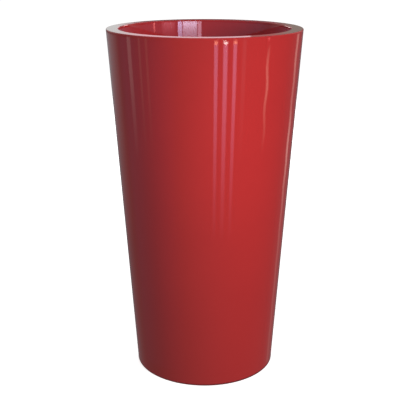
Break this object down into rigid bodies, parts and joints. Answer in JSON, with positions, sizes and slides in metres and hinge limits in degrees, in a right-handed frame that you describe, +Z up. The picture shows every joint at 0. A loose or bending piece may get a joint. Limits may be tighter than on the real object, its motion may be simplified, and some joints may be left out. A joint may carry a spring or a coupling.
{
  "type": "round floor planter",
  "caption": "Tall tapered round floor planter in gloss lacquer with a flat rim, a lift-out liner on pull-up handles, a water reservoir tray with a wick basket, a float gauge and a drain bung.",
  "frame": {"origin": "on the floor, on the planter's upright axis", "axes": "+Z up along the axis; -Y towards the viewer of the picture and towards the gauge; +X to the viewer's right"},
  "size_m": [0.4098, 0.4098, 0.75],
  "materials": {
    "red_lacquer": "high-gloss red lacquer on glass-fibre laminate",
    "grey_laminate": "bare grey laminate",
    "sealant": "tooled grey sealant",
    "black_rubber": "moulded black rubber",
    "liner_plastic": "moulded charcoal plastic",
    "handle_plastic": "moulded black plastic",
    "tray_plastic": "moulded grey plastic",
    "shaft_plastic": "moulded dark grey plastic",
    "clear_plastic": "clear moulded plastic",
    "signal_plastic": "bright red moulded plastic",
    "float_foam": "closed-cell white foam"
  },
  "bodies": {
    "pot": {"outer_shell": "red_lacquer", "inner_sleeve": "red_lacquer", "base_plate": "grey_laminate", "base_sealant": "sealant", "foot_pads": "black_rubber"},
    "liner": {"liner_pot": "liner_plastic", "reservoir_tray": "tray_plastic", "wick_basket": "shaft_plastic", "water_shaft": "shaft_plastic", "gauge_guide": "shaft_plastic", "gauge_window": "clear_plastic"},
    "handle_left": {"lift_handle_left": "handle_plastic"},
    "handle_right": {"lift_handle_right": "handle_plastic"},
    "float": {"gauge_rod": "signal_plastic", "level_float": "float_foam"},
    "bung": {"drain_bung": "black_rubber"}
  },
  "joints": [
    {"name": "liner_lift", "type": "slide", "parent": "pot", "child": "liner", "axis": [0, 0, 1], "range_m": [0, 0.4]},
    {"name": "left_handle_pull", "type": "slide", "parent": "liner", "child": "handle_left", "axis": [0, 0, 1], "range_m": [0, 0.08]},
    {"name": "right_handle_pull", "type": "slide", "parent": "liner", "child": "handle_right", "axis": [0, 0, 1], "range_m": [0, 0.08]},
    {"name": "float_rise", "type": "slide", "parent": "liner", "child": "float", "axis": [0, 0, 1], "range_m": [0, 0.04]},
    {"name": "bung_pull", "type": "slide", "parent": "pot", "child": "bung", "axis": [0, 0, 1], "range_m": [0, 0.06]}
  ]
}
